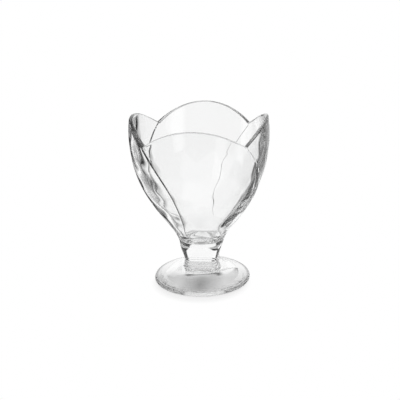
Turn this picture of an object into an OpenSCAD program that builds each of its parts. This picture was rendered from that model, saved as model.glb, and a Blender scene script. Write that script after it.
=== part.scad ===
// Stemmed dessert glass in clear pressed glass. A round hollow foot carries a ringed collar, a
// square stem that turns round, and a tulip bowl of four petals that lap like a pinwheel.
// Millimetres, +Z up. The origin is the middle of the foot on the table, and the front is -Y.

/* [Foot] */
// Widest diameter of the foot
foot_d = 68; // [58:0.5:80]
// Height of the foot's flat seat under the collar
foot_h = 10.6; // [8:0.1:16]
// Height of the foot's widest line above the table
edge_h = 0.6; // [0.4:0.1:2]
// Rise of the rounded edge above its widest line
edge_crown = 1.8; // [0.8:0.1:3]
// How far the edge bulges past the bearing ring
edge_lip = 0.8; // [0.4:0.1:2]
// Width of the flat ring that bears on the table
bearing_w = 8; // [3:0.1:11]
// Height of the hollow under the middle of the foot
hollow_h = 6.5; // [1:0.1:7]
// How far the foot's upper side sags below a straight cone
foot_sag = 0.4; // [0:0.1:1.5]

/* [Collar] */
// How far the collar's flat top stands out past the stem
ring_lip = 0.1; // [0.05:0.05:1]
// How far the lower ring stands out past the upper one
ring_step = 0.25; // [0:0.05:1.5]
// How far the round skirt spreads past the corners of the groove above it
skirt_flare = 0.3; // [0.1:0.1:2]
// Height of the upper ring
upper_ring_h = 1.8; // [0.8:0.1:3]
// Height of the lower ring
lower_ring_h = 2.2; // [0.8:0.1:3]
// Height of the skirt that spreads onto the foot
skirt_h = 1.6; // [1:0.1:4]
// Depth of the grooves beside each ring
groove = 0.35; // [0.2:0.05:1]

/* [Stem] */
// Width across the flats at the stem's lower end
stem_w = 22.8; // [16:0.2:28]
// Height of the stem
stem_h = 11.8; // [6:0.2:40]
// Squareness of the collar's rings and the stem's lower end, where 2 is round
stem_square = 4.4; // [2.2:0.1:6]
// How far the stem's sides curve in
stem_waist = 0.2; // [0:0.1:2]

/* [Bowl] */
// Diameter of the bowl where it stands on the stem
bowl_foot_d = 31; // [24:0.5:40]
// Height of the bowl, from the stem to the petal tips
bowl_h = 90.4; // [75:0.2:120]
// Diameter across the petal tips
mouth_d = 93; // [80:0.5:110]
// How far the side leans out as it leaves the stem
lower_reach = 6.7; // [2:0.1:12]
// How high that lower stretch of the side runs
lower_rise = 22; // [12:0.5:32]
// How far the side swells past the mouth
upper_reach = 6; // [0:0.1:12]
// How far below the tips that swell pulls
upper_drop = 53.4; // [35:0.2:65]
// Height of the solid base that the petals grow from
base_h = 9; // [7:0.1:16]
// Thickness of the glass under the bowl's floor
floor_t = 1.8; // [1:0.1:5]
// Diameter of the flat middle of the bowl's floor
floor_d = 12; // [4:0.5:16]
// Wall of the bowl at its base
base_wall = 4.6; // [3:0.1:6]
// Wall of the petals at their tips
tip_wall = 2.7; // [1.6:0.1:4]

/* [Petals] */
// Radius of the round that a petal's upper edge follows
petal_r = 48.5; // [42:0.5:70]
// Height of the rounding on that upper edge
rim_crown = 1.1; // [0.4:0.1:1.6]
// Turn of the lapped edges round the bowl, in degrees
edge_bow = 27; // [0:1:40]
// Fullness of that turn towards its ends
bow_power = 2.5; // [2:0.1:4]
// Step where a petal laps over the next one
lap_step = 1.4; // [0.4:0.1:1.8]

/* [Hidden] */
$fn = 96;
glass_colour = [0.87, 0.92, 0.93, 0.6];

// Number of petals, each a quarter of the bowl
petal_count = 4;
petal_span = 360 / petal_count;

// Points along each rounded stretch of an outline
arc_steps = 8;
// Points along the bowl base's outline
base_steps = 12;
// Rows up the stem, steps round each of the collar's mouldings, and points round both
stem_rows = 6;
ring_steps = 6;
stem_points = 64;
// Columns across a petal, and rows up it
petal_cols = 20;
petal_rows = 26;
// Points over the rounded upper edge, between the outer and the inner side
crown_points = 3;
// Share of a petal's height over which the lap fades in from the base
lap_fade = 0.25;
// Halvings in the search for a height along the bowl's side
search_steps = 26;

// Foot radii
edge_r = foot_d / 2;
bearing_r = edge_r - edge_lip;
hollow_r = bearing_r - bearing_w;

// Half widths across the flats of the collar's rings, which follow the stem
upper_ring_w = stem_w / 2 + ring_lip + groove;
lower_ring_w = upper_ring_w + ring_step;
// Radius of the collar's round foot, from the corners of the groove above it
skirt_r = (lower_ring_w - groove) * pow(2, 1 / 2 - 1 / stem_square) + skirt_flare;
collar_h = skirt_h + lower_ring_h + upper_ring_h;

// Heights of the joints
collar_z = foot_h;
stem_z = collar_z + collar_h;
bowl_z = stem_z + stem_h;
petal_z = bowl_z + base_h;
floor_z = bowl_z + floor_t;
tip_z = bowl_z + bowl_h;

// Control points of the bowl's side, as [radius, height]
side = [
    [bowl_foot_d / 2, bowl_z],
    [bowl_foot_d / 2 + lower_reach, bowl_z + lower_rise],
    [mouth_d / 2 + upper_reach, tip_z - upper_drop],
    [mouth_d / 2, tip_z]
];

// Points on curves and round the axis
function quadratic(a, b, c, t) = (1 - t) * (1 - t) * a + 2 * t * (1 - t) * b + t * t * c;
function side_at(t) =
    pow(1 - t, 3) * side[0] + 3 * t * pow(1 - t, 2) * side[1]
    + 3 * t * t * (1 - t) * side[2] + pow(t, 3) * side[3];
function side_run(t) =
    3 * pow(1 - t, 2) * (side[1] - side[0]) + 6 * t * (1 - t) * (side[2] - side[1])
    + 3 * t * t * (side[3] - side[2]);
// Radius gained for each millimetre of height
function side_slope(t) = side_run(t)[0] / side_run(t)[1];
// Place along the side at a height
function side_place(z, low = 0, high = 1, steps = search_steps) =
    let (middle = (low + high) / 2)
    steps == 0 ? middle
    : side_at(middle)[1] < z ? side_place(z, middle, high, steps - 1)
    : side_place(z, low, middle, steps - 1);
// Wall measured level, for a wall that is square to the side
function level_wall(t) =
    (base_wall + (tip_wall - base_wall) * t) * sqrt(1 + pow(side_slope(t), 2));
function inner_r(t) = side_at(t)[0] - level_wall(t);
// Angles run from the front, -Y, towards +X
function round_axis(r, angle, z) = [r * sin(angle), -r * cos(angle), z];
function clamp(x) = min(1, max(0, x));
// Squareness, from the stem's own to round
function squareness(roundness) = stem_square + (2 - stem_square) * roundness;

// Both triangles of a four-sided patch
function patch(a, b, c, d) = [[a, b, c], [a, c, d]];
function flatten(lists) = [for (list = lists) for (item = list) item];

// Foot, lathe-turned outline with a hollow underneath

function foot_outline() =
    let (
        edge_top = [edge_r - edge_crown, edge_h + edge_crown],
        seat = [skirt_r, foot_h],
        waist = (edge_top + seat) / 2 - [0, 2 * foot_sag]
    )
    concat(
        [for (i = [0 : arc_steps]) let (out = i / arc_steps)
            [hollow_r * out, hollow_h * (1 - out * out)]],
        [for (i = [0 : arc_steps]) let (a = -90 + 90 * i / arc_steps)
            [bearing_r + edge_lip * cos(a), edge_h + edge_h * sin(a)]],
        [for (i = [1 : arc_steps - 1]) let (a = 90 * i / arc_steps)
            [edge_r - edge_crown + edge_crown * cos(a), edge_h + edge_crown * sin(a)]],
        [for (i = [0 : 2 * arc_steps]) quadratic(edge_top, waist, seat, i / (2 * arc_steps))],
        [[0, foot_h]]
    );

module foot() {
    color(glass_colour) rotate_extrude() polygon(foot_outline());
}

// Rows of the collar and the stem, each as [half width, height, squareness], and the solid they bound

function row_point(row, angle) =
    let (spread = pow(abs(cos(angle)), row[2]) + pow(abs(sin(angle)), row[2]))
    round_axis(row[0] / pow(spread, 1 / row[2]), angle, row[1]);

module stacked(rows) {
    n = stem_points;
    top = len(rows) - 1;
    points = [for (row = rows) for (i = [0 : n - 1]) row_point(row, 360 * i / n)];
    sides = flatten([for (k = [0 : top - 1]) for (i = [0 : n - 1])
        let (next = (i + 1) % n, low = k * n, high = low + n)
        patch(low + i, high + i, high + next, low + next)]);
    lower_face = [for (i = [0 : n - 1]) i];
    upper_face = [for (i = [0 : n - 1]) top * n + n - 1 - i];
    color(glass_colour) polyhedron(points, concat(sides, [lower_face, upper_face]), convexity = 6);
}

// Collar, a skirt that spreads from two squared rings to a round foot

function ring_rows(w, z, h) =
    [for (i = [0 : ring_steps]) let (a = -90 + 180 * i / ring_steps)
        [w - groove + groove * cos(a), z + h / 2 + h / 2 * sin(a), stem_square]];

function skirt_rows() =
    let (
        low = [skirt_r, collar_z],
        high = [lower_ring_w - groove, collar_z + skirt_h],
        hollow = [high[0], collar_z + skirt_h / 3]
    )
    [for (i = [0 : ring_steps - 1])
        let (up = i / ring_steps, place = quadratic(low, hollow, high, up))
        [place[0], place[1], squareness(1 - up)]];

module collar() {
    lower_z = collar_z + skirt_h;
    upper_z = lower_z + lower_ring_h;
    stacked(concat(
        skirt_rows(),
        ring_rows(lower_ring_w, lower_z, lower_ring_h),
        ring_rows(upper_ring_w, upper_z, upper_ring_h)
    ));
}

// Stem, a rounded square below that turns into the round foot of the bowl

function stem_row(share) =
    let (low_w = stem_w / 2, high_w = bowl_foot_d / 2)
    [low_w + (high_w - low_w) * share - stem_waist * sin(180 * share), stem_z + stem_h * share,
        squareness(pow(share, 3))];

module stem() {
    stacked([for (row = [0 : stem_rows]) stem_row(row / stem_rows)]);
}

// Bowl base, the solid bottom of the bowl with the rounded floor of its hollow

module bowl_base() {
    seat_t = side_place(petal_z);
    wall_top = [inner_r(seat_t), petal_z];
    floor_edge = [floor_d / 2, floor_z];
    corner = [wall_top[0] - side_slope(seat_t) * (petal_z - floor_z), floor_z];
    color(glass_colour) rotate_extrude() polygon(concat(
        [[0, bowl_z]],
        [for (i = [0 : base_steps]) side_at(seat_t * i / base_steps)],
        [for (i = [0 : base_steps]) quadratic(wall_top, corner, floor_edge, i / base_steps)],
        [[0, floor_z]]
    ));
}

// Petals, four alike, each lapping over the next one towards +X from the front

// Height of the upper edge across a petal, where across runs from 0 to 1
function rim_z(across) =
    let (aside = mouth_d / 2 * sin(petal_span * (across - 0.5)))
    tip_z - petal_r + sqrt(petal_r * petal_r - aside * aside);
function rim_place(across) = side_place(rim_z(across) - rim_crown);

// Turn of the lapped edges at a place along the side: none at the notch or at the stem
function bow_at(t) =
    let (up = clamp(t / rim_place(0)))
    edge_bow * (1 - pow(abs(2 * up - 1), bow_power));

function petal_angle(middle, across, t) = middle + petal_span * (across - 0.5) + bow_at(t);
function lap_at(across, up) = lap_step * across * across * sin(90 * clamp(up / lap_fade));

// One column of a petal: up the outer side, over the rounded edge and down the inner side
function petal_column(middle, across) =
    let (
        low = side_place(petal_z),
        high = rim_place(across),
        places = [for (i = [0 : petal_rows]) low + (high - low) * i / petal_rows],
        outer = [for (i = [0 : petal_rows]) side_at(places[i])[0] + lap_at(across, i / petal_rows)],
        inner = [for (i = [0 : petal_rows]) inner_r(places[i])],
        top_r = (outer[petal_rows] + inner[petal_rows]) / 2,
        half = (outer[petal_rows] - inner[petal_rows]) / 2,
        top_z = side_at(high)[1],
        top_angle = petal_angle(middle, across, high)
    )
    concat(
        [for (i = [0 : petal_rows])
            round_axis(outer[i], petal_angle(middle, across, places[i]), side_at(places[i])[1])],
        [for (k = [1 : crown_points]) let (a = 180 * k / (crown_points + 1))
            round_axis(top_r + half * cos(a), top_angle, top_z + rim_crown * sin(a))],
        [for (i = [petal_rows : -1 : 0])
            round_axis(inner[i], petal_angle(middle, across, places[i]), side_at(places[i])[1])]
    );

// The line on a petal's lapping edge where the next petal's outer side meets it
function lap_line(middle) =
    let (low = side_place(petal_z), high = rim_place(1))
    [for (i = [1 : petal_rows]) let (t = low + (high - low) * i / petal_rows)
        round_axis(side_at(t)[0], petal_angle(middle, 1, t), side_at(t)[1])];

module petal(middle) {
    ring = 2 * (petal_rows + 1) + crown_points;
    last = petal_cols * ring;
    extra = (petal_cols + 1) * ring;
    points = concat(
        [for (j = [0 : petal_cols]) each petal_column(middle, j / petal_cols)],
        lap_line(middle)
    );
    skin = flatten([for (j = [0 : petal_cols - 1]) for (k = [0 : ring - 1])
        let (next = (k + 1) % ring, here = j * ring, there = here + ring)
        patch(here + k, here + next, there + next, there + k)]);
    // The tucked edge, strip by strip, with its end over the rounded edge
    tucked = concat(
        flatten([for (i = [0 : petal_rows - 1]) patch(i, ring - 1 - i, ring - 2 - i, i + 1)]),
        [for (k = [1 : crown_points]) [petal_rows, petal_rows + k + 1, petal_rows + k]]
    );
    // The lapping edge: the strip that meets the next petal, then the bare step
    meet = [for (i = [0 : petal_rows]) i == 0 ? last : extra + i - 1];
    met = flatten([for (i = [0 : petal_rows - 1])
        patch(meet[i], meet[i + 1], last + ring - 2 - i, last + ring - 1 - i)]);
    step = concat(
        [[last, last + 1, meet[1]]],
        flatten([for (i = [1 : petal_rows - 1]) patch(last + i, last + i + 1, meet[i + 1], meet[i])])
    );
    step_end = [for (k = [0 : crown_points])
        [meet[petal_rows], last + petal_rows + k, last + petal_rows + k + 1]];
    color(glass_colour) polyhedron(points, concat(skin, tucked, met, step, step_end), convexity = 8);
}

module petal_front() { petal(0); }
module petal_right() { petal(petal_span); }
module petal_back() { petal(2 * petal_span); }
module petal_left() { petal(3 * petal_span); }

foot();
collar();
stem();
bowl_base();
petal_front();
petal_right();
petal_back();
petal_left();
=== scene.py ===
import math

import bpy
from mathutils import Matrix, Vector


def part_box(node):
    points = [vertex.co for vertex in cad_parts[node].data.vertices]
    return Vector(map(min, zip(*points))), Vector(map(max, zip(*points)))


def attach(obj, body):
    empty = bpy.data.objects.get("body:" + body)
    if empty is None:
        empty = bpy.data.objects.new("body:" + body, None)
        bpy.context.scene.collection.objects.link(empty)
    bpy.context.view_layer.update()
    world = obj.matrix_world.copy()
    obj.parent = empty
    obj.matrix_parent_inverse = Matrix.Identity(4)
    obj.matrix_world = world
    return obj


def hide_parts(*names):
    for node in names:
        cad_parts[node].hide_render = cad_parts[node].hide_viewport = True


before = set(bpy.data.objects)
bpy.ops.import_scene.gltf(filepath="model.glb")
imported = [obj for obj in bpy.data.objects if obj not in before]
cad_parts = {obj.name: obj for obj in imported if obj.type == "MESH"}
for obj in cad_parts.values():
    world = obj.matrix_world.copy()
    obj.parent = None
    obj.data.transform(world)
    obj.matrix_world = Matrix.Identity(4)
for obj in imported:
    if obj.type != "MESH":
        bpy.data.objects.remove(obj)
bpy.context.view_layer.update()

MM = 0.001

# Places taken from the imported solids
EDGE_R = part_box("foot")[1][0]
SEAT_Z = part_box("foot")[1][2]
SKIRT_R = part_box("collar")[1][0]
STEM_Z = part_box("stem")[0][2]
BOWL_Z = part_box("bowl_base")[0][2]
PETAL_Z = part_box("petal_front")[0][2]
TIP_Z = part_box("petal_front")[1][2]

# Foot
EDGE_H = 0.6 * MM
EDGE_CROWN = 1.8 * MM
EDGE_LIP = 0.8 * MM
BEARING_W = 8 * MM
HOLLOW_H = 6.5 * MM
FOOT_SAG = 0.4 * MM

# Collar
RING_LIP = 0.1 * MM
RING_STEP = 0.25 * MM
GROOVE = 0.35 * MM
SKIRT_BEND = 1 / 3
UPPER_RING_H = 1.8 * MM
LOWER_RING_H = 2.2 * MM

# Stem
STEM_HALF = 11.4 * MM
STEM_SQUARE = 4.4
STEM_WAIST = 0.2 * MM
STEM_ROUNDING = 3

# Bowl
BOWL_FOOT_R = 15.5 * MM
MOUTH_R = 46.5 * MM
LOWER_REACH = 6.7 * MM
LOWER_RISE = 22 * MM
UPPER_REACH = 6 * MM
UPPER_DROP = 53.4 * MM
FLOOR_H = 1.8 * MM
FLOOR_R = 6 * MM
BASE_WALL = 4.6 * MM
TIP_WALL = 2.7 * MM

# Petals
PETALS = ("petal_front", "petal_right", "petal_back", "petal_left")
PETAL_SPAN = math.tau / len(PETALS)
PETAL_ROUND_R = 48.5 * MM
RIM_CROWN = 1.1 * MM
EDGE_BOW = math.radians(27)
BOW_POWER = 2.5
LAP_STEP = 1.4 * MM
LAP_FADE = 0.25

# Finish of the glass, in which the pattern's number picks one of many patterns alike
PATTERN = 24
GLASS_IOR = 1.52
MELT_SCALE = 30
MELT_DETAIL = 2
MELT_PALE = (0.998, 0.999, 0.999, 1)
MELT_DEEP = (0.99, 0.993, 0.992, 1)
WEAR_SCALE = 120
WEAR_DETAIL = 4
WEAR_FROM = 0.55
WEAR_ROUGH = 0.02
WAVE_SCALE = 45
WAVE_DETAIL = 1
WAVE_MIDDLE = 0.5
WAVE_H = 1.5 * MM
FOOT_WAVES = 0.3
WAVES_FULL_Z = PETAL_Z + 15 * MM

# Fineness of the meshes
ROUND_POINTS = 192
ARC_STEPS = 12
LONG_STEPS = 3 * ARC_STEPS
STEM_ROWS = 28
BASE_ROWS = 32
PETAL_COLUMNS = 72
PETAL_ROWS = 110
STEP_LAYERS = 2
WALL_LAYERS = 14
SEARCH_STEPS = 40
RIM_STEPS = 5
MERGE = 0.001 * MM
CREASE = math.radians(32)

# Part of a face's normal along a side of the block that counts it to that side
FACING = 0.5

# Control points of the bowl's side, as (radius, height)
SIDE = (
    (BOWL_FOOT_R, BOWL_Z),
    (BOWL_FOOT_R + LOWER_REACH, BOWL_Z + LOWER_RISE),
    (MOUTH_R + UPPER_REACH, TIP_Z - UPPER_DROP),
    (MOUTH_R, TIP_Z),
)


# Curves of the side

def quadratic(a, b, c, t):
    """Point on the curve from a to c that b pulls aside."""
    return tuple((1 - t) ** 2 * p + 2 * t * (1 - t) * q + t * t * r for p, q, r in zip(a, b, c))


def cubic(t, values):
    """Value of a cubic curve with these four control values."""
    a, b, c, d = values
    rest = 1 - t
    return rest * rest * rest * a + 3 * rest * rest * t * b + 3 * rest * t * t * c + t * t * t * d


def cubic_run(t, values):
    """Rate at which that curve changes."""
    a, b, c, d = values
    rest = 1 - t
    return 3 * rest * rest * (b - a) + 6 * rest * t * (c - b) + 3 * t * t * (d - c)


SIDE_R, SIDE_Z = zip(*SIDE)


def side_at(t):
    """Radius and height at a place along the side."""
    return cubic(t, SIDE_R), cubic(t, SIDE_Z)


def side_slope(t):
    """Radius gained for each metre of height."""
    return cubic_run(t, SIDE_R) / cubic_run(t, SIDE_Z)


def side_place(z):
    """Place along the side at a height."""
    low, high = 0.0, 1.0
    for _ in range(SEARCH_STEPS):
        middle = (low + high) / 2
        if cubic(middle, SIDE_Z) < z:
            low = middle
        else:
            high = middle
    return (low + high) / 2


def level_wall(t):
    """Wall measured level, for a wall that is square to the side."""
    return (BASE_WALL + (TIP_WALL - BASE_WALL) * t) * math.sqrt(1 + side_slope(t) ** 2)


# Rules inside trees of nodes

class Value:
    """A value inside a tree of nodes, so that a rule is written as plain arithmetic."""

    def __init__(self, tree, socket):
        self.tree = tree
        self.socket = socket

    def node(self, operation, *entries):
        node = self.tree.nodes.new("ShaderNodeMath")
        node.operation = operation
        for entry, value in zip(node.inputs, entries):
            if isinstance(value, Value):
                self.tree.links.new(value.socket, entry)
            else:
                entry.default_value = value
        return Value(self.tree, node.outputs[0])

    def __add__(self, other):
        return self.node("ADD", self, other)

    def __radd__(self, other):
        return self.node("ADD", other, self)

    def __sub__(self, other):
        return self.node("SUBTRACT", self, other)

    def __rsub__(self, other):
        return self.node("SUBTRACT", other, self)

    def __mul__(self, other):
        return self.node("MULTIPLY", self, other)

    def __rmul__(self, other):
        return self.node("MULTIPLY", other, self)

    def __truediv__(self, other):
        return self.node("DIVIDE", self, other)

    def __pow__(self, other):
        return self.node("POWER", self, other)

    def __abs__(self):
        return self.node("ABSOLUTE", self)

    def __gt__(self, other):
        return self.node("GREATER_THAN", self, other)

    def __lt__(self, other):
        return self.node("LESS_THAN", self, other)

    def sin(self):
        return self.node("SINE", self)

    def cos(self):
        return self.node("COSINE", self)

    def sqrt(self):
        return self.node("SQRT", self.node("MAXIMUM", self, 0.0))

    def held(self):
        """The value, held from 0 to 1."""
        return self.node("MINIMUM", self.node("MAXIMUM", self, 0.0), 1.0)


def parts_of(tree, kind):
    """The three parts of a vector that a node gives."""
    node = tree.nodes.new(kind)
    split = tree.nodes.new("ShaderNodeSeparateXYZ")
    tree.links.new(node.outputs[0], split.inputs[0])
    return [Value(tree, part) for part in split.outputs]


# Materials

def new_material(name):
    """A material with a lone Principled shader."""
    material = bpy.data.materials.new(name)
    material.use_nodes = True
    shader = material.node_tree.nodes["Principled BSDF"]
    return material, material.node_tree, shader


def glass_skin():
    """Finish of pressed glass: streaks in the melt, faint wear, and slow waves in its faces."""
    tree = bpy.data.node_groups.new("pressed_glass_skin", "ShaderNodeTree")
    for name, kind in (("Colour", "Color"), ("Roughness", "Float"), ("Normal", "Vector")):
        tree.interface.new_socket(name, in_out="OUTPUT", socket_type=f"NodeSocket{kind}")
    place = tree.nodes.new("ShaderNodeTexCoord")
    done = tree.nodes.new("NodeGroupOutput")

    def streaks(scale, detail):
        noise = tree.nodes.new("ShaderNodeTexNoise")
        noise.noise_dimensions = "4D"
        noise.inputs["W"].default_value = PATTERN
        noise.inputs["Scale"].default_value = scale
        noise.inputs["Detail"].default_value = detail
        tree.links.new(place.outputs["Object"], noise.inputs["Vector"])
        return noise.outputs["Fac"]

    melt = tree.nodes.new("ShaderNodeMix")
    melt.data_type = "RGBA"
    tree.links.new(streaks(MELT_SCALE, MELT_DETAIL), melt.inputs["Factor"])
    for socket, colour in zip([i for i in melt.inputs if i.type == "RGBA"], (MELT_PALE, MELT_DEEP)):
        socket.default_value = colour
    tree.links.new([o for o in melt.outputs if o.type == "RGBA"][0], done.inputs["Colour"])

    wear = Value(tree, streaks(WEAR_SCALE, WEAR_DETAIL))
    rough = ((wear - WEAR_FROM) / (1 - WEAR_FROM)).held() * WEAR_ROUGH
    tree.links.new(rough.socket, done.inputs["Roughness"])

    # The foot and the stem are calmer than the bowl
    split = tree.nodes.new("ShaderNodeSeparateXYZ")
    tree.links.new(place.outputs["Object"], split.inputs[0])
    height = Value(tree, split.outputs["Z"])
    bowl = ((height - BOWL_Z) / (WAVES_FULL_Z - BOWL_Z)).held()
    wave = Value(tree, streaks(WAVE_SCALE, WAVE_DETAIL)) - WAVE_MIDDLE
    wave = wave * (FOOT_WAVES + (1 - FOOT_WAVES) * bowl)
    waves = tree.nodes.new("ShaderNodeBump")
    waves.inputs["Strength"].default_value = 1
    waves.inputs["Distance"].default_value = WAVE_H
    tree.links.new(wave.socket, waves.inputs["Height"])
    tree.links.new(waves.outputs["Normal"], done.inputs["Normal"])
    return tree


def clear_glass():
    """Clear glass with that finish."""
    material, tree, shader = new_material("clear_pressed_glass")
    skin = tree.nodes.new("ShaderNodeGroup")
    skin.node_tree = glass_skin()
    for name, entry in (("Colour", "Base Color"), ("Roughness", "Roughness"), ("Normal", "Normal")):
        tree.links.new(skin.outputs[name], shader.inputs[entry])
    shader.inputs["IOR"].default_value = GLASS_IOR
    shader.inputs["Transmission Weight"].default_value = 1
    return material


def fused_joint():
    """Hidden faces where two pieces are one glass, which bend no light."""
    material, _, shader = new_material("fused_joint")
    shader.inputs["Alpha"].default_value = 0
    return material


# Turned pieces

def polar(r, angle, z):
    """Point round the axis, with angles from the front towards +X."""
    return r * math.sin(angle), -r * math.cos(angle), z


def turned(name, bands, materials):
    """Closed piece round the axis, from pole to pole.

    A band is a list of (radius, height) and the number of its material. A radius may be a
    function of the angle. Each band starts where the one before it ends."""
    points, faces, slots = [], [], []
    last_ring = None
    for outline, slot in bands:
        for r, z in outline if last_ring is None else outline[1:]:
            first = len(points)
            if r == 0:
                points.append((0, 0, z))
                ring = [first] * ROUND_POINTS
            else:
                for i in range(ROUND_POINTS):
                    angle = math.tau * i / ROUND_POINTS
                    points.append(polar(r(angle) if callable(r) else r, angle, z))
                ring = range(first, first + ROUND_POINTS)
            if last_ring is not None:
                for i in range(ROUND_POINTS):
                    j = (i + 1) % ROUND_POINTS
                    corners = (last_ring[i], last_ring[j], ring[j], ring[i])
                    faces.append(tuple(dict.fromkeys(corners)))
                    slots.append(slot)
            last_ring = ring
    mesh = bpy.data.meshes.new(name)
    mesh.from_pydata(points, [], faces)
    for material in materials:
        mesh.materials.append(material)
    mesh.polygons.foreach_set("material_index", slots)
    return mesh


# Numbers of the two materials on a turned piece
GLASS, JOINT = 0, 1


def arc(middle, half_width, half_height, start, end, steps=ARC_STEPS):
    """Points on an oval arc, from one angle in degrees to another."""
    angles = (math.radians(start + (end - start) * i / steps) for i in range(steps + 1))
    return [(middle[0] + half_width * math.cos(a), middle[1] + half_height * math.sin(a)) for a in angles]


def sweep(a, b, c, steps):
    """Points on the curve from a to c that b pulls aside."""
    return [quadratic(a, b, c, i / steps) for i in range(steps + 1)]


def foot_mesh(materials):
    bearing_r = EDGE_R - EDGE_LIP
    hollow_r = bearing_r - BEARING_W
    shares = [i / LONG_STEPS for i in range(LONG_STEPS + 1)]
    hollow = [(hollow_r * share, HOLLOW_H * (1 - share ** 2)) for share in shares]
    lip = arc((bearing_r, EDGE_H), EDGE_LIP, EDGE_H, -90, 0)
    crown = arc((EDGE_R - EDGE_CROWN, EDGE_H), EDGE_CROWN, EDGE_CROWN, 0, 90)
    edge_top, seat = crown[-1], (SKIRT_R, SEAT_Z)
    # The middle of a curve moves half as far as the point that pulls it
    waist = ((edge_top[0] + seat[0]) / 2, (edge_top[1] + seat[1]) / 2 - 2 * FOOT_SAG)
    top = sweep(edge_top, waist, seat, LONG_STEPS)
    return turned("foot_glass", [
        (hollow + lip + crown[1:] + top[1:], GLASS),
        ([seat, (0, SEAT_Z)], JOINT),
    ], materials)


def squared(half, roundness):
    """Radius round a rounded square as a function of the angle, where roundness 1 is a circle."""
    square = STEM_SQUARE + (2 - STEM_SQUARE) * roundness

    def radius(angle):
        spread = abs(math.cos(angle)) ** square + abs(math.sin(angle)) ** square
        return half / spread ** (1 / square)

    return radius


def stem_row(share):
    """Outline of the stem at a share of its height."""
    half = STEM_HALF + (BOWL_FOOT_R - STEM_HALF) * share - STEM_WAIST * math.sin(math.pi * share)
    return squared(half, share ** STEM_ROUNDING), STEM_Z + (BOWL_Z - STEM_Z) * share


def collar_mesh(materials):
    upper_half = STEM_HALF + RING_LIP + GROOVE
    lower_half = upper_half + RING_STEP
    upper_z = STEM_Z - UPPER_RING_H
    lower_z = upper_z - LOWER_RING_H
    low, high = (SKIRT_R, SEAT_Z), (lower_half - GROOVE, lower_z)
    skirt = sweep(low, (high[0], SEAT_Z + (lower_z - SEAT_Z) * SKIRT_BEND), high, ARC_STEPS)
    skirt = [(squared(half, 1 - i / ARC_STEPS), z) for i, (half, z) in enumerate(skirt)]
    lower_ring = arc((high[0], (lower_z + upper_z) / 2), GROOVE, LOWER_RING_H / 2, -90, 90)
    upper_ring = arc((upper_half - GROOVE, (upper_z + STEM_Z) / 2), GROOVE, UPPER_RING_H / 2, -90, 90)
    rings = [(squared(half, 0), z) for half, z in lower_ring[1:] + upper_ring]
    return turned("collar_glass", [
        ([(0, SEAT_Z), skirt[0]], JOINT),
        (skirt + rings, GLASS),
        ([rings[-1], stem_row(0)], GLASS),
        ([stem_row(0), (0, STEM_Z)], JOINT),
    ], materials)


def stem_mesh(materials):
    side = [stem_row(i / STEM_ROWS) for i in range(STEM_ROWS + 1)]
    return turned("stem_glass", [
        ([(0, STEM_Z), side[0]], JOINT),
        (side, GLASS),
        ([side[-1], (0, BOWL_Z)], JOINT),
    ], materials)


def bowl_base_mesh(materials):
    floor_z = BOWL_Z + FLOOR_H
    seat_t = side_place(PETAL_Z)
    outer = [side_at(seat_t * i / BASE_ROWS) for i in range(BASE_ROWS + 1)]
    wall_top = (outer[-1][0] - level_wall(seat_t), PETAL_Z)
    corner = (wall_top[0] - side_slope(seat_t) * (PETAL_Z - floor_z), floor_z)
    inner = sweep(wall_top, corner, (FLOOR_R, floor_z), BASE_ROWS)
    return turned("bowl_base_glass", [
        ([(0, BOWL_Z), outer[0]], JOINT),
        (outer, GLASS),
        ([outer[-1], wall_top], JOINT),
        (inner + [(0, floor_z)], GLASS),
    ], materials)


# Petals, a block bent to the bowl's side by one tree of nodes

def petal_sizes(turn):
    """Named sizes that the petal's tree takes."""
    return {
        "Turn": turn,
        "Span": PETAL_SPAN,
        "Low Place": side_place(PETAL_Z),
        "Foot Radius": BOWL_FOOT_R,
        "Foot Height": BOWL_Z,
        "Lower Reach": LOWER_REACH,
        "Lower Rise": LOWER_RISE,
        "Mouth Radius": MOUTH_R,
        "Tip Height": TIP_Z,
        "Upper Reach": UPPER_REACH,
        "Upper Drop": UPPER_DROP,
        "Base Wall": BASE_WALL,
        "Tip Wall": TIP_WALL,
        "Round Radius": PETAL_ROUND_R,
        "Rim Crown": RIM_CROWN,
        "Edge Bow": EDGE_BOW,
        "Bow Power": BOW_POWER,
        "Lap Step": LAP_STEP,
        "Lap Fade": LAP_FADE,
    }


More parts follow.
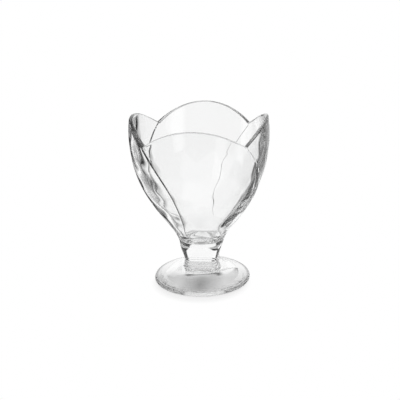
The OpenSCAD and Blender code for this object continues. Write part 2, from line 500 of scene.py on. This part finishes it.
def petal_tree(glass, joint):
    """Tree that bends a block to a petal, with named sizes."""
    tree = bpy.data.node_groups.new("petal_of_the_bowl", "GeometryNodeTree")
    tree.interface.new_socket("Petal", in_out="OUTPUT", socket_type="NodeSocketGeometry")
    for name in petal_sizes(0):
        tree.interface.new_socket(name, in_out="INPUT", socket_type="NodeSocketFloat")
    entries = tree.nodes.new("NodeGroupInput")
    size = {name: Value(tree, entries.outputs[name]) for name in petal_sizes(0)}

    # A block whose three directions run from 0 to 1 across the petal, through its wall and up it
    block = tree.nodes.new("GeometryNodeMeshCube")
    layers = STEP_LAYERS + WALL_LAYERS
    for name, count in (("X", PETAL_COLUMNS), ("Y", layers), ("Z", PETAL_ROWS)):
        block.inputs[f"Vertices {name}"].default_value = count + 1
    across, through, up = (part + 0.5 for part in parts_of(tree, "GeometryNodeInputPosition"))
    facing_x, _, facing_z = parts_of(tree, "GeometryNodeInputNormal")

    # The joints: the block's foot, its tucked edge, and its lapping edge below the bare step
    below_step = (facing_x > FACING) * (through > STEP_LAYERS / layers)
    at_joint = (facing_z < -FACING) + (facing_x < -FACING) + below_step
    marked = tree.nodes.new("GeometryNodeStoreNamedAttribute")
    marked.data_type, marked.domain = "BOOLEAN", "FACE"
    marked.inputs["Name"].default_value = "fused"
    tree.links.new(at_joint.socket, marked.inputs["Value"])
    tree.links.new(block.outputs["Mesh"], marked.inputs["Geometry"])

    # The bowl's side and its wall
    side_r = (
        size["Foot Radius"],
        size["Foot Radius"] + size["Lower Reach"],
        size["Mouth Radius"] + size["Upper Reach"],
        size["Mouth Radius"],
    )
    side_z = (
        size["Foot Height"],
        size["Foot Height"] + size["Lower Rise"],
        size["Tip Height"] - size["Upper Drop"],
        size["Tip Height"],
    )

    def rim_place(across):
        """Place along the side of the rounded upper edge, worked out step by step from the tip."""
        aside = size["Mouth Radius"] * (size["Span"] * (across - 0.5)).sin()
        round_r = size["Round Radius"]
        drop = round_r - (round_r * round_r - aside * aside).sqrt() + size["Rim Crown"]
        foot, lower, upper, tip = side_z
        first = 3.0 * (tip - upper)
        second = 3.0 * (tip - 2.0 * upper + lower)
        third = tip - 3.0 * upper + 3.0 * lower - foot
        back = drop / first
        for _ in range(RIM_STEPS):
            back = drop / (first - second * back + third * back * back)
        return 1.0 - back

    place = size["Low Place"] + (rim_place(across) - size["Low Place"]) * up
    slope = cubic_run(place, side_r) / cubic_run(place, side_z)
    square_wall = size["Base Wall"] + (size["Tip Wall"] - size["Base Wall"]) * place
    wall = square_wall * (1.0 + slope * slope).sqrt()
    outer = cubic(place, side_r)

    # The step where this petal laps over the next one, and the layers through the wall
    faded = ((up / size["Lap Fade"]).held() * (math.pi / 2)).sin()
    lap = size["Lap Step"] * across * across * faded
    layer = through * layers
    down_step = (layer / STEP_LAYERS).held()
    through_wall = ((layer - STEP_LAYERS) / WALL_LAYERS).held()
    inward = 0.5 - 0.5 * (through_wall * math.pi).cos()
    radius = outer + lap * (1.0 - down_step) - wall * inward

    # The rounded upper edge, on the topmost row alone
    half = (wall + lap) * 0.5
    off_middle = (radius - (outer + lap - half)) / half
    topmost = up > 1 - 0.5 / PETAL_ROWS
    rise = size["Rim Crown"] * (1.0 - off_middle * off_middle).sqrt() * topmost

    # The turn of the lapped edges round the bowl
    share = (place / rim_place(0.0 * across)).held()
    bow = size["Edge Bow"] * (1.0 - abs(2.0 * share - 1.0) ** size["Bow Power"])
    angle = size["Turn"] + size["Span"] * (across - 0.5) + bow

    where = tree.nodes.new("ShaderNodeCombineXYZ")
    for name, part in (
        ("X", radius * angle.sin()),
        ("Y", 0.0 - radius * angle.cos()),
        ("Z", cubic(place, side_z) + rise),
    ):
        tree.links.new(part.socket, where.inputs[name])
    bent = tree.nodes.new("GeometryNodeSetPosition")
    tree.links.new(marked.outputs["Geometry"], bent.inputs["Geometry"])
    tree.links.new(where.outputs["Vector"], bent.inputs["Position"])

    merged = tree.nodes.new("GeometryNodeMergeByDistance")
    merged.inputs["Distance"].default_value = MERGE
    real = tree.nodes.new("GeometryNodeRealizeInstances")
    all_glass = tree.nodes.new("GeometryNodeSetMaterial")
    all_glass.inputs["Material"].default_value = glass
    joints = tree.nodes.new("GeometryNodeSetMaterial")
    joints.inputs["Material"].default_value = joint
    fused = tree.nodes.new("GeometryNodeInputNamedAttribute")
    fused.data_type = "BOOLEAN"
    fused.inputs["Name"].default_value = "fused"
    tree.links.new(fused.outputs["Attribute"], joints.inputs["Selection"])
    done = tree.nodes.new("NodeGroupOutput")
    chain = (bent, merged, real, all_glass, joints, done)
    for before, after in zip(chain, chain[1:]):
        tree.links.new(before.outputs[0], after.inputs[0])
    return tree


def petal_mesh(name, tree, turn):
    """Plain mesh of one petal, from the tree with this petal's turn."""
    block = bpy.data.objects.new(name, bpy.data.meshes.new(name))
    bpy.context.scene.collection.objects.link(block)
    modifier = block.modifiers.new("petal", "NODES")
    modifier.node_group = tree
    sizes = petal_sizes(turn)
    for item in tree.interface.items_tree:
        if item.in_out == "INPUT":
            modifier[item.identifier] = sizes[item.name]
    graph = bpy.context.evaluated_depsgraph_get()
    mesh = bpy.data.meshes.new_from_object(block.evaluated_get(graph), depsgraph=graph)
    bpy.data.objects.remove(block)
    mesh.name = f"{name}_glass"
    return mesh


# Assembly

def add_piece(node, mesh):
    """One finished piece in place of its solid."""
    mesh.polygons.foreach_set("use_smooth", [True] * len(mesh.polygons))
    mesh.set_sharp_from_angle(angle=CREASE)
    piece = bpy.data.objects.new(f"{node}_glass", mesh)
    bpy.context.scene.collection.objects.link(piece)
    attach(piece, "root")
    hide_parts(node)


glass = clear_glass()
joint = fused_joint()
finishes = (glass, joint)
add_piece("foot", foot_mesh(finishes))
add_piece("collar", collar_mesh(finishes))
add_piece("stem", stem_mesh(finishes))
add_piece("bowl_base", bowl_base_mesh(finishes))
bowl_tree = petal_tree(glass, joint)
for number, name in enumerate(PETALS):
    add_piece(name, petal_mesh(name, bowl_tree, PETAL_SPAN * number))


# Floor, light and camera

# What the glass shows of the studio: white sheets with dark between them, a dim wall above them,
# a bright ceiling and a pale ground. A sheet is its middle angle from the front, its half width and
# the angles of its lower and upper edge, in degrees. The heights are those of a direction, in which 1 is
# straight up.
SHEETS = (
    (183.5, 13.5, -38, 35),
    (191, 23, -9, 35),
    (231, 13, -90, -11),
    (270, 13, -40, 12),
    (45, 13, -40, 12),
)
SHEET_SOFT = 2
EDGE_SOFT = 0.03
DARK = 0.03
WALL_LIGHT = 0.15
WALL_Z = 0.2
WALL_SOFT = 0.12
CEILING_Z = 0.7
CEILING_SOFT = 0.2
GROUND_LIGHT = 0.65
GROUND_Z = -0.6
GROUND_SOFT = 0.1

# Table, with the shadow that the eye sees on it past the glass, partly painted: the shade is the diffuse
# shader's own, but a mask set off towards the front paints where it shows through the white glow
TABLE_HALF = 5.0
TABLE_Z = -0.2 * MM
TABLE_GLOW = 0.6
SHADE_SHIFT = 9 * MM
SHADE_R = 30 * MM
SHADE_W = 14 * MM

# Table as the glass shows it, a painted shadow under the foot in its glow: grey in the middle, in a patch
# drawn out from front to back, lighter at the sides and more so at the back, with a painted dark arch
# behind the axis and a painted dark line under the foot's edge. Beyond the edge it is white and gives way
# to the sheets.
PAINTED_SHADE_MIDDLE = 0.26
UNDER_R = 16 * MM
UNDER_LONG = 4
UNDER_SHIFT = 18 * MM
PAINTED_SHADE_SIDES = 0.66
PAINTED_BACK_LIGHT = 0.24
BACK_Y = -5 * MM
BACK_W = 17 * MM
ARCH_R = 11 * MM
ARCH_W = 3.2 * MM
ARCH_LONG = 2.0
ARCH_SOFT = 6 * MM
ARCH_DARK = 0.95
LINE_IN = 0.5 * MM
LINE_W = 3 * MM
LINE_DARK = 0.8
BRIGHT_W = 14 * MM
OPEN_W = 26 * MM

# Camera, turned from the front towards +X, above the table and aimed at a height on the axis
CAMERA_DISTANCE = 570 * MM
CAMERA_TURN = math.radians(5.9)
CAMERA_RISE = math.radians(19.27)
CAMERA_ROLL = math.radians(-1.29)
AIM_Z = 57.9 * MM
PICTURE_PIXELS = 400
FOCAL_PIXELS = 818
SHIFT_PIXELS = -0.75
SENSOR_W = 36
NEAREST = 10 * MM

# Bounces of light that stacked walls of glass need
LIGHT_BOUNCES = 40
GLOSSY_BOUNCES = 24
JOINT_CROSSINGS = 64


def sheets(x, y, z):
    """Light of the sheets round the glass."""
    level = (x * x + y * y).sqrt()
    light = 0.0 * x
    for middle, half, low, high in SHEETS:
        angle = math.radians(middle)
        inner, outer = (math.cos(math.radians(half + side * SHEET_SOFT)) for side in (-1, 1))
        facing = (x * math.sin(angle) - y * math.cos(angle)) / level
        across = ((facing - outer) / (inner - outer)).held()
        below = ((math.sin(math.radians(high)) - z) / EDGE_SOFT + 0.5).held()
        above = ((z - math.sin(math.radians(low))) / EDGE_SOFT + 0.5).held()
        light = light + across * below * above
    return light


def seen_in_glass(tree, x, y):
    """1 for rays that have come through the glass, or that it mirrors from behind on the left."""
    path = tree.nodes.new("ShaderNodeLightPath")
    through = Value(tree, path.outputs["Is Transmission Ray"])
    mirrored = Value(tree, path.outputs["Is Glossy Ray"])
    return through + (mirrored - through) * (y > 0.0) * (x < 0.0)


def mixed(tree, share, first, second):
    """Mix of two shaders, in which share 1 is all the second."""
    node = tree.nodes.new("ShaderNodeMixShader")
    tree.links.new(share.socket, node.inputs[0])
    tree.links.new(first.outputs[0], node.inputs[1])
    tree.links.new(second.outputs[0], node.inputs[2])
    return node


def white_table():
    """White to the eye with a soft shadow that is partly painted, and to the glass a painted shadow under
    the foot, as the values above say.
    """
    material, tree, shader = new_material("white_table")
    shader.inputs["Base Color"].default_value = (1, 1, 1, 1)
    shader.inputs["Roughness"].default_value = 1
    shader.inputs["Specular IOR Level"].default_value = 0
    path = tree.nodes.new("ShaderNodeLightPath")
    eye = Value(tree, path.outputs["Is Camera Ray"])
    x, y, _ = parts_of(tree, "ShaderNodeNewGeometry")
    in_glass = seen_in_glass(tree, x, y)

    def from_middle(ahead):
        return (x * x + ahead * ahead).sqrt()

    out = from_middle(y)
    # Painted place of the shadow for the eye: near the foot, and further out in front, the white glow
    # gives way to the diffuse shader's real shade
    shade = ((from_middle(y + SHADE_SHIFT) - SHADE_R) / SHADE_W).held()
    # Painted shade under the foot, shown to the glass alone: a grey patch with lighter sides and back,
    # darkened by a painted line under the foot's edge and a painted arch behind the axis
    under = (from_middle((y + UNDER_SHIFT) / UNDER_LONG) / UNDER_R).held()
    painted_side_light = PAINTED_SHADE_SIDES + PAINTED_BACK_LIGHT * ((y - BACK_Y) / BACK_W).held()
    line = (1.0 - abs(out - (EDGE_R - LINE_IN)) / LINE_W).held()
    arch = (1.0 - abs(from_middle(y / ARCH_LONG) - ARCH_R) / ARCH_W).held() * (y / ARCH_SOFT).held()
    below = PAINTED_SHADE_MIDDLE + (painted_side_light - PAINTED_SHADE_MIDDLE) * under
    below = below * (1.0 - LINE_DARK * line) * (1.0 - ARCH_DARK * arch)
    beyond = ((out - EDGE_R) / BRIGHT_W).held()
    white = (eye * (TABLE_GLOW + shade) + in_glass * (below + beyond)).held()
    gone = in_glass * ((out - EDGE_R) / OPEN_W).held()
    glow = tree.nodes.new("ShaderNodeEmission")
    open_view = tree.nodes.new("ShaderNodeBsdfTransparent")
    surface = mixed(tree, gone, mixed(tree, white, shader, glow), open_view)
    tree.links.new(surface.outputs[0], tree.nodes["Material Output"].inputs["Surface"])
    return material


def add_floor():
    """Wide flat table just under the foot."""
    half = TABLE_HALF
    corners = ((-half, -half), (half, -half), (half, half), (-half, half))
    mesh = bpy.data.meshes.new("table")
    mesh.from_pydata([(x, y, TABLE_Z) for x, y in corners], [], [(0, 1, 2, 3)])
    mesh.materials.append(white_table())
    table = bpy.data.objects.new("table", mesh)
    bpy.context.scene.collection.objects.link(table)


def add_world():
    """White to the eye and on the table, and the studio in the glass."""
    world = bpy.data.worlds.new("studio")
    world.use_nodes = True
    bpy.context.scene.world = world
    tree = world.node_tree
    x, y, z = parts_of(tree, "ShaderNodeTexCoord")
    in_glass = seen_in_glass(tree, x, y)
    wall = ((z - WALL_Z) / WALL_SOFT).held()
    ceiling = ((z - CEILING_Z) / CEILING_SOFT).held()
    ground = ((GROUND_Z - z) / GROUND_SOFT).held()
    light = sheets(x, y, z) + WALL_LIGHT * wall + (1 - WALL_LIGHT) * ceiling + GROUND_LIGHT * ground
    studio = DARK + (1 - DARK) * light.held()
    background = tree.nodes["Background"]
    background.inputs["Color"].default_value = (1, 1, 1, 1)
    tree.links.new((1.0 - in_glass * (1.0 - studio)).socket, background.inputs["Strength"])


def add_camera():
    """Camera at the photograph's place."""
    level = math.cos(CAMERA_RISE)
    away = Vector(polar(level, CAMERA_TURN, math.sin(CAMERA_RISE)))
    right = Vector((math.cos(CAMERA_TURN), math.sin(CAMERA_TURN), 0))
    upright = away.cross(right)
    turned_right = math.cos(CAMERA_ROLL) * right + math.sin(CAMERA_ROLL) * upright
    turned_up = math.cos(CAMERA_ROLL) * upright - math.sin(CAMERA_ROLL) * right
    data = bpy.data.cameras.new("photo_camera")
    data.sensor_width = SENSOR_W
    data.lens = SENSOR_W * FOCAL_PIXELS / PICTURE_PIXELS
    data.shift_x = SHIFT_PIXELS / PICTURE_PIXELS
    data.clip_start = NEAREST
    camera = bpy.data.objects.new("photo_camera", data)
    camera.matrix_world = Matrix((turned_right, turned_up, away)).transposed().to_4x4()
    camera.location = Vector((0, 0, AIM_Z)) + away * CAMERA_DISTANCE
    bpy.context.scene.collection.objects.link(camera)
    bpy.context.scene.camera = camera


add_floor()
add_world()
add_camera()
scene = bpy.context.scene
scene.view_settings.view_transform = "Standard"
scene.cycles.caustics_refractive = False
scene.cycles.max_bounces = LIGHT_BOUNCES
scene.cycles.transmission_bounces = LIGHT_BOUNCES
scene.cycles.glossy_bounces = GLOSSY_BOUNCES
scene.cycles.transparent_max_bounces = JOINT_CROSSINGS
